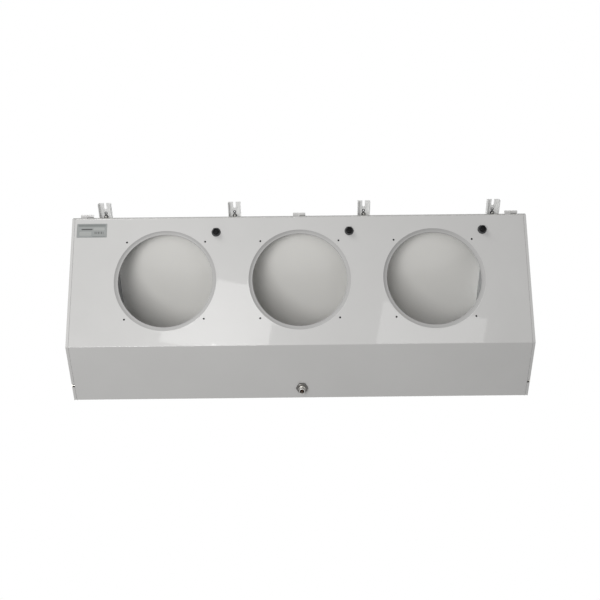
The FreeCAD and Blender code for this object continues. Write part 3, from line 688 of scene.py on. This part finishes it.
# %% Locknuts
lock_across = 24.0
lock_rows = nut_rows(lock_across, 4.8)
thread_end = [(0.0, 4.6), (9.2, 4.6), (9.8, 5.2), (9.2, 5.8), (9.8, 6.4), (9.0, 7.0), (7.6, 7.2), (7.4, 5.0),
              (0.0, 5.0)]
lock_shells = []
for x, rise in gland_places:
    lock_shells.append(placed(hexed(lock_rows, lock_across), on_panel(x, rise, -sheet), -out_of_panel))
    lock_shells.append(placed(turned(thread_end, 40), on_panel(x, rise, -sheet), -out_of_panel))
locknuts = piece("gland_lock_nuts", lock_shells, "tray", black_plastic)
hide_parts("gland_locknuts")

# %% [markdown]
# ## The drain
# The melt water leaves through a threaded spigot. Its hexagon sits inside the pan, and a dark nut
# pulls it tight from below. Both are turned and hexagonal shapes, as the glands are.

# %% Drain nut
drain_place = (3.0, front_y - 33.0)
drain_across = 28.0
drain_nut_rows = nut_rows(drain_across, 7.0, 9.05)
drain_nut_shell = placed(hexed(drain_nut_rows, drain_across), (*drain_place, pan_low), (0, 0, -1))
drain_nut_piece = piece("drain_hex_nut", [drain_nut_shell], "tray", dark_nut, 30.0)
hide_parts("drain_nut")

# %% Drain spigot
turns = np.linspace(0.0, 1.0, 9)
thread = [(9.0 - 0.55 * (n % 2), 1.2 - 9.0 * share) for n, share in enumerate(turns)]
tail = [(8.0, -8.0), (8.0, -11.0), (8.25, -11.6), (8.0, -12.2), (8.0, -16.0), (8.25, -16.6), (8.0, -17.2),
        (8.0, -20.4), (7.6, -21.0), (6.7, -21.0), (6.5, -20.8)]
spigot_rows = [(6.5, 4.0), (6.8, 4.2), (12.0, 4.2), (12.0, 1.2)] + thread + tail + [(6.5, 4.0)]
drain_shells = [
    placed(turned(spigot_rows, 60), (*drain_place, pan_low)),
    placed(hexed(nut_rows(drain_across, 2.9, 11.9), drain_across), (*drain_place, pan_low + 1.25)),
]
drain_piece = piece("drain_outlet", drain_shells, "tray", drain_zinc, 30.0)
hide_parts("drain_spigot")

# %% [markdown]
# ## Thin plates
# A label is a plate with round corners and a soft upper edge. A cube with a Bevel would do. A stack of
# rounded outlines does it with fewer faces, and each outline is a row of the same kind of grid.


# %% A plate with round corners
def rounded(width, height, corner):
    """The outline of a rectangle with round corners, anticlockwise, as (x, y)."""
    t = np.radians(np.linspace(0, 90, 8))
    quarter = corner * np.stack([np.cos(t), np.sin(t)], -1) + (width / 2 - corner, height / 2 - corner)
    turn_x = quarter[::-1] * (-1, 1)
    return np.concatenate([quarter, turn_x, -quarter, -turn_x])


def plate(width, height, thick, corner, bevel=0.15):
    """A flat plate on Z = 0 with round corners and a bevelled upper edge."""
    rows = []
    for inset, z in ((0.0, 0.0), (0.0, thick - bevel), (bevel, thick)):
        outline = rounded(width - 2 * inset, height - 2 * inset, corner - inset)
        rows.append(np.concatenate([outline, np.full((len(outline), 1), z)], 1))
    middle = rows[0] * (0, 0, 1)
    rows = [middle] + rows + [middle + (0, 0, thick)]
    return np.concatenate(rows), grid_faces(len(rows), len(middle))


print("a plate has", len(plate(10.0, 5.0, 1.0, 1.0)[1]), "faces")

# %% [markdown]
# ## The rating plate
# The plate carries no words: a band, two empty fields and a few plain bars stand where the print is.
# They are thin plates of their own and not a picture, so they stay sharp from near.

# %% Rating plate
label_width, label_height = 82.0, 39.0
plate_middle = (-panel_half + 6.5 + label_width / 2, panel_length - 14.0 - label_height / 2)
label_shell = placed(plate(label_width, label_height, 0.5, 1.5), on_panel(*plate_middle), out_of_panel)
rating = piece("rating_label", [label_shell], "tray", label_metal)
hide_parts("rating_plate")


# %% Bands, fields and bars
def label_pieces(name, fields, material):
    """Thin plates on the label: each is (x, rise, width, height) from the label's middle."""
    shells = []
    for x, rise, width, height in fields:
        where = on_panel(plate_middle[0] + x, plate_middle[1] + rise, 0.45)
        shells.append(placed(plate(width, height, 0.09, min(width, height) * 0.3, 0.02), where, out_of_panel))
    return piece(name, shells, "tray", material)


label_pieces("rating_label_band", [(0.0, 14.2, 75.0, 6.0), (19.5, -16.6, 36.0, 2.2)], label_band)
label_pieces("rating_label_fields", [(-17.5, -8.5, 33.0, 11.0), (19.5, 4.5, 30.0, 8.0)], label_field)
bars = [(9.0 + 4.4 * n, -6.5, 2.0 - 0.8 * (n % 2), 6.5) for n in range(6)]
label_pieces("rating_label_bars", [(-13.4, 3.4, 30.0, 3.6)] + bars, label_print)

# %% [markdown]
# ## The hanger rails
# The rails keep their CAD shape, with a small bevel on every edge, which catches light as a rolled
# edge does. A CAD mesh is loose triangles, so a Weld joins doubled points first, and the Bevel can
# then follow the edges.

# %% Bevelled rails
for number in range(1, 5):
    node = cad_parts[f"hanger_rail_{number}"]
    weld = node.modifiers.new("weld", "WELD")
    weld.merge_threshold = 1e-5
    bevel = node.modifiers.new("bevel", "BEVEL")
    bevel.width = 0.35 * MM
    bevel.segments = 2
    bevel.limit_method = "ANGLE"
    bevel.angle_limit = math.radians(40.0)
print("bevelled", [name for name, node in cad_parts.items() if node.modifiers])

# %% [markdown]
# ## The rails' fixings
# A nut on a stud holds each rail to the cover, and the small holes in its ends have rubber rings. They
# are turned and hexagonal shapes again, hung upside down from the rail's under face. The rings' black
# is painted shade for the dark holes, and the nuts' near-black finish is painted shade for their sides.

# %% Nuts, studs and rings
rail_xs = (-532.5, -177.5, 177.5, 532.5)
rail_hole_y = front_y + 37.5 - 28.0
rail_under = -2.0
nut_across, nut_high, stud_radius = 10.0, 5.0, 3.0
stud_thread = [(stud_radius - 0.3 * (n % 2), 0.5 + 0.7 * n) for n in range(9)]
stud = [(0.0, 0.0), (stud_radius, 0.0)] + stud_thread + [(2.3, 6.7), (0.0, 6.7)]
grommet = [(1.6, 0.2), (2.4, 0.7), (3.6, 0.7), (4.0, 0.4), (4.0, 0.0), (3.4, 0.0), (3.4, -1.7), (2.9, -1.9),
           (1.7, -1.6), (1.6, 0.2)]
down = (0, 0, -1)
nut_shells, stud_shells, ring_shells = [], [], []
for x in rail_xs:
    top = (x, rear_y, rail_under)
    nut_shells.append(placed(hexed(nut_rows(nut_across, nut_high, stud_radius + 0.1), nut_across), top, down))
    stud_shells.append(placed(turned(stud, 32), top, down))
    for side in (-1, 1):
        ring_shells.append(placed(turned(grommet, 32), (x, side * rail_hole_y, rail_under), down))
# The nuts' near-black finish is painted shade.
rail_nut_piece = piece("rail_hex_nuts", nut_shells, "casing", steel_painted_shade, 30.0)
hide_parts("rail_nuts")
piece("rail_studs", stud_shells, "casing", plated, 30.0)
# The rings' black is painted shade for the dark holes.
piece("rail_hole_rings", ring_shells, "casing", rubber_painted_shade)

# %% [markdown]
# ## The coil's fins
# The CAD has a plain fin every 12 mm. The real coil has one about every 4 mm, each pressed into waves
# that stiffen it. A bump could fake the waves, but not the outline that is seen at the air outlet, so
# each fin is a thin waved sheet of few faces.

# %% Fins
plate_outer = 513.5
support_x = 178.25
coil_front = front_y - 20.0
coil_low = -216.0
row_pitch = 43.3
tube_pitch = 50.0
coil_top = coil_low + 4 * tube_pitch
fin_half = 0.08


def fin(x):
    """A thin waved sheet: x + 0.45 sin(2 pi y / 14.4), 0.16 mm thick, closed at its ends."""
    y = np.linspace(0.0, 2 * row_pitch, 25)
    wave = 0.45 * np.sin(2 * math.pi * y / (row_pitch / 3))
    middle = np.stack([x + wave, coil_front - 2 * row_pitch + y], -1)
    loop = np.concatenate([middle + (fin_half, 0.0), middle[::-1] - (fin_half, 0.0)])
    flat = np.concatenate([middle, middle[::-1]])
    levels = ((flat, coil_low), (loop, coil_low), (loop, coil_top), (flat, coil_top))
    rows = [np.concatenate([outline, np.full((len(outline), 1), z)], 1) for outline, z in levels]
    return np.concatenate(rows), grid_faces(4, len(loop))


fin_xs = [x for x in np.arange(-507.0, 508.0, 4.225) if abs(abs(x) - support_x) > 1.6]
fins = piece("coil_fin_pack", [fin(x) for x in fin_xs], "casing", aluminium, 60.0)
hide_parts("coil_fins")

# %% [markdown]
# ## Tubes along a path
# A copper tube is a circle carried along a line that bends in one plane. A curve with a bevel would do
# and then need turning into a mesh. The same grid as before carries the circle, and closes both ends.


# %% Sweeping a tube
def swept(path, radius, normal, steps=28):
    """A round tube along a flat path: p + radius (cos t a + sin t n), with a = n x tangent."""
    path = np.array(path, float)
    n = np.array(normal, float) / np.linalg.norm(normal)
    a = np.cross(n, np.gradient(path, axis=0))
    a = a / np.linalg.norm(a, axis=1, keepdims=True)
    t = round_angles(steps)
    ring = np.cos(t)[:, None] * a[:, None, :] + np.sin(t)[:, None] * n
    points = path[:, None, :] + radius * ring
    ends = [np.repeat(path[i][None, None, :], steps, axis=1) for i in (0, -1)]
    points = np.concatenate([ends[0], points, ends[1]])
    return points.reshape(-1, 3), grid_faces(len(points), steps)


def tube_place(row, level):
    """The y and z of a tube: every second row stands half a pitch higher."""
    return coil_front - row_pitch * (row + 0.5), coil_low + tube_pitch * (level + 0.25 + 0.5 * (row % 2))


def bend(first, second, outward, steps=24):
    """Points of a half circle from one tube end to another: m + s cos t + o sin t, t from 0 to 180 degrees."""
    first, second = np.array(first, float), np.array(second, float)
    reach = np.linalg.norm(second - first) / 2
    t = np.linspace(0.0, math.pi, steps)[:, None]
    side = (first - second) / 2
    return (first + second) / 2 + side * np.cos(t) + reach * np.array(outward, float) * np.sin(t)


print("the lowest tube is at", np.round(tube_place(0, 0), 1))

# %% [markdown]
# ## Hairpins and return bends
# The tubes are long hairpins that are pushed in from the right and swollen into the fins. Two soldered
# bends join the rows at the left. A small collar shows where each tube comes through its plate.

# %% Hairpins
tube_end = 525.5
bend_start = 521.5
hairpin_shells, collar_shells = [], []
collar = [(8.0, 0.0), (8.9, 0.0), (9.3, 0.6), (8.6, 2.4), (8.0, 2.6), (8.0, 0.0)]
for row in range(2):
    for level in (0, 2):
        ends = [tube_place(row, level + n) for n in (0, 1)]
        there = [[-tube_end, *ends[0]], [0, *ends[0]]]
        turn = bend((bend_start, *ends[0]), (bend_start, *ends[1]), (1, 0, 0))
        back = [[0, *ends[1]], [-tube_end, *ends[1]]]
        hairpin_shells.append(swept(np.concatenate([there, turn, back]), 7.94, (0, 1, 0)))
        for end in ends:
            for side in (-1, 1):
                seat = (side * plate_outer, *end)
                collar_shells.append(placed(turned(collar, 32), seat, (side, 0, 0), (0, 1, 0)))
hairpins = piece("coil_hairpin_tubes", hairpin_shells + collar_shells, "casing", copper, 40.0)
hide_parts("coil_hairpins")

# %% Return bends
return_shells = []
for level in (0, 2):
    first = (-tube_end, *tube_place(0, level + 1))
    second = (-tube_end, *tube_place(1, level + 1))
    bend_normal = np.cross((1, 0, 0), np.subtract(second, first))
    return_shells.append(swept(bend(first, second, (-1, 0, 0)), 8.0, bend_normal))
bends = piece("coil_bend_tubes", return_shells, "casing", copper, 40.0)
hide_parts("coil_return_bends")

# %% [markdown]
# ## The suction header
# The header is an upright copper pipe with domed ends, in front of the bends. Two short pipes join it
# to the coil, and its stub points at the hole in the side cover. Each pipe is a closed shell of its
# own that ends inside the next, as soldered pipes do, so no Boolean is needed.

# %% Suction header
pipe_x = -578.0
to_left = (-1, 0, 0)
suction_y = tube_place(1, 0)[0]
suction_z = coil_low + 120.0
outlets = [tube_place(1, level)[1] for level in (0, 2)]
header_low, header_high = min(outlets) - 18.0, max(outlets) + 18.0
dome_height = 4.9
dome = arc((0.0, 0.0), 14.0, 0.0, 84.0, 10) * (1.0, 0.35)
header_rows = [(0.0, header_low)] + [(r, header_low + dome_height - h) for r, h in dome[::-1]]
header_rows += [(r, header_high - dome_height + h) for r, h in dome] + [(0.0, header_high)]
header_shells = [placed(turned(header_rows, 48), (pipe_x, suction_y, 0.0))]
sleeve = [(8.0, 0.0), (9.6, 0.0), (9.6, 8.0), (9.2, 8.6), (8.0, 8.8), (8.0, 0.0)]
for z in outlets:
    header_shells.append(swept([(pipe_x, suction_y, z), (-tube_end, suction_y, z)], 8.0, (0, 1, 0)))
    header_shells.append(placed(turned(sleeve, 36), (pipe_x + 12.0, suction_y, z), (1, 0, 0), (0, 1, 0)))
stub = [(0.0, 0.0), (13.0, 0.0), (13.0, 15.4), (12.6, 16.0), (11.0, 16.0), (11.0, 33.4), (10.6, 34.0),
        (9.6, 34.0), (9.4, 20.0), (0.0, 20.0)]
header_shells.append(placed(turned(stub, 48), (pipe_x, suction_y, suction_z), to_left, (0, 1, 0)))
header = piece("suction_header_pipe", header_shells, "casing", copper, 40.0)
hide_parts("suction_header")

# %% [markdown]
# ## The distributor and its leads
# The liquid comes in through a small brass block, from which a thin pipe runs to each circuit. The
# leads run up and down and then turn to the coil on a round elbow.

# %% Distributor
liquid_y = tube_place(0, 0)[0]
liquid_z = (tube_place(0, 0)[1] + tube_place(0, 2)[1]) / 2
block_half = 10.0
inlet = [(0.0, 0.0), (6.5, 0.0), (6.5, 13.6), (6.2, 14.0), (5.0, 14.0), (5.0, 33.5), (4.6, 34.0), (4.0, 34.0),
         (3.9, 24.0), (0.0, 24.0)]
distributor_shells = [
    placed(hexed(nut_rows(16.0, 2 * block_half), 16.0), (pipe_x, liquid_y, liquid_z - block_half)),
    placed(turned(inlet, 36), (pipe_x, liquid_y, liquid_z), to_left, (0, 1, 0)),
]
distributor = piece("brass_distributor", distributor_shells, "casing", brass, 30.0)
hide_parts("liquid_distributor")

# %% Leads
elbow_radius = 20.0
lead_shells = []
for side, level in ((1, 2), (-1, 0)):
    z = tube_place(0, level)[1]
    elbow_centre = (pipe_x + elbow_radius, z - side * elbow_radius)
    elbow = arc(elbow_centre, elbow_radius, 180.0, 180.0 - side * 90.0, 14)
    route = np.concatenate([[(pipe_x, liquid_z + side * block_half)], elbow, [(-tube_end, z)]])
    route = np.stack([route[:, 0], np.full(len(route), liquid_y), route[:, 1]], -1)
    lead_shells.append(swept(route, 3.0, (0, 1, 0), 20))
leads = piece("distributor_lead_pipes", lead_shells, "casing", copper, 40.0)
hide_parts("distributor_leads")

# %% [markdown]
# ## Cover screws
# Pan-head screws hold the side covers and the cover's front lip. A head is a quarter ellipse turned
# round, with a round recess: a crossed slot would cost many faces at a size where it isn't seen.


# %% Screws of the covers
def screw_head(radius, height):
    """A pan head: a quarter ellipse from the rim to the crown, with a round recess in it."""
    crown = arc((0.0, 0.0), 1.0, 0.0, 66.0, 9) * (radius, height)
    return [(0.0, 0.0), (radius * 0.97, 0.0)] + [tuple(p) for p in crown] + [
        (radius * 0.36, height * 0.93), (radius * 0.30, height * 0.45), (0.0, height * 0.40)]


head = screw_head(3.4, 2.1)
screw_shells = []
for side in (-1, 1):
    for y, z in ((-150.0, -22.0), (0.0, -22.0), (150.0, -22.0), (212.0, -60.0), (212.0, -150.0)):
        screw_shells.append(placed(turned(head, 28), (side * casing_half, y, z), (side, 0, 0), (0, 1, 0)))
for x in (-560.0, -300.0, 0.0, 300.0, 560.0):
    screw_shells.append(placed(turned(head, 28), (x, front_y, -24.0), (0, 1, 0)))
piece("cover_screws", screw_shells, "casing", plated, 40.0)

# %% [markdown]
# ## Screws of the junction box
# Four screws hold the lid, and each of the six terminals has one of brass. The places are counted from
# the box's lower corner, which is where the CAD source puts it.

# %% Screws of the box
to_right = (1, 0, 0)
box_x = plate_outer + 45.0 + 0.3 + 3.0
box_y, box_z = fold_y - 42.0 - 80.0, -15.2 - 45.0 - 60.0
lid_head = screw_head(2.6, 1.6)
lid_screws = [placed(turned(lid_head, 24), (box_x, box_y + y, box_z + z), to_right, (0, 1, 0))
              for y in (6.0, 74.0) for z in (6.0, 54.0)]
piece("box_lid_screws", lid_screws, "casing", plated, 40.0)
terminal_head = screw_head(2.0, 1.0)
terminal_places = [(plate_outer + 20.0, box_y + 15.0 + 10.0 * n, box_z + 30.0) for n in range(6)]
terminal_screws = [placed(turned(terminal_head, 20), place, to_right, (0, 1, 0)) for place in terminal_places]
piece("terminal_screws", terminal_screws, "casing", brass, 40.0)

# %% [markdown]
# ## The screws that keep the pan shut
# One screw at each side goes through the side cover into the pan's side lip. It has a hexagon on a
# washer, so that it can be undone from outside. It belongs to the pan's body and swings with it.

# %% Shutting screws
shut_y, shut_z = front_y - 40.0, pan_low + 12.0
shut_across = 10.0
shut_head = [(0.0, 0.0), (7.0, 0.0), (7.3, 0.4), (7.0, 0.9), (5.4, 1.0), (0.0, 1.0)]
shut_shank = [(0.0, 0.0), (2.6, 0.4), (3.0, 1.2), (3.0, 16.2), (0.0, 16.2)]
shut_hex = nut_rows(shut_across, 2.6, 0.0, False)
shut_shells = []
for side in (-1, 1):
    parts = (
        (turned(shut_head, 36), casing_half + 0.3, (0, 1, 0)),
        (hexed(shut_hex, shut_across), casing_half + 1.2, (0, 0, 1)),
        (turned(shut_shank, 28), 604.5, (0, 1, 0)),
    )
    for shell, x, across in parts:
        shut_shells.append(placed(shell, (side * x, shut_y, shut_z), (side, 0, 0), across))
shut_piece = piece("tray_shut_screws", shut_shells, "tray", plated, 30.0)
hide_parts("tray_side_screws")
